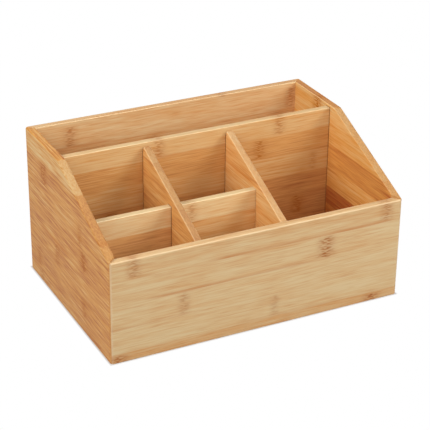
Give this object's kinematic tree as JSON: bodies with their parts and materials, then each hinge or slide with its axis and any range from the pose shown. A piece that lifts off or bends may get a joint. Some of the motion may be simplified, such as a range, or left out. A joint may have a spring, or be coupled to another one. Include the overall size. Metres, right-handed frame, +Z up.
{
  "type": "desk organizer",
  "caption": "Open-top desk organizer of laminated bamboo boards, with a tall back, a low front, sloping sides and fixed dividers for letters, pens and notes.",
  "frame": {"origin": "middle of the footprint, on the surface that the box stands on", "axes": "+X to the right along the low front, +Y towards the tall back, +Z up"},
  "size_m": [0.3, 0.204, 0.152],
  "materials": {
    "wall_bamboo": "laminated bamboo, finely sanded, thin satin lacquer",
    "divider_bamboo": "laminated bamboo, finely sanded, thin satin lacquer",
    "base_bamboo": "laminated bamboo board, sanded"
  },
  "bodies": {
    "root": {"left_side": "wall_bamboo", "right_side": "wall_bamboo", "back_wall": "wall_bamboo", "front_wall": "wall_bamboo", "bottom_board": "base_bamboo", "rear_divider": "divider_bamboo", "left_divider": "divider_bamboo", "right_divider": "divider_bamboo", "left_cross_divider": "divider_bamboo", "middle_cross_divider": "divider_bamboo"}
  },
  "joints": []
}
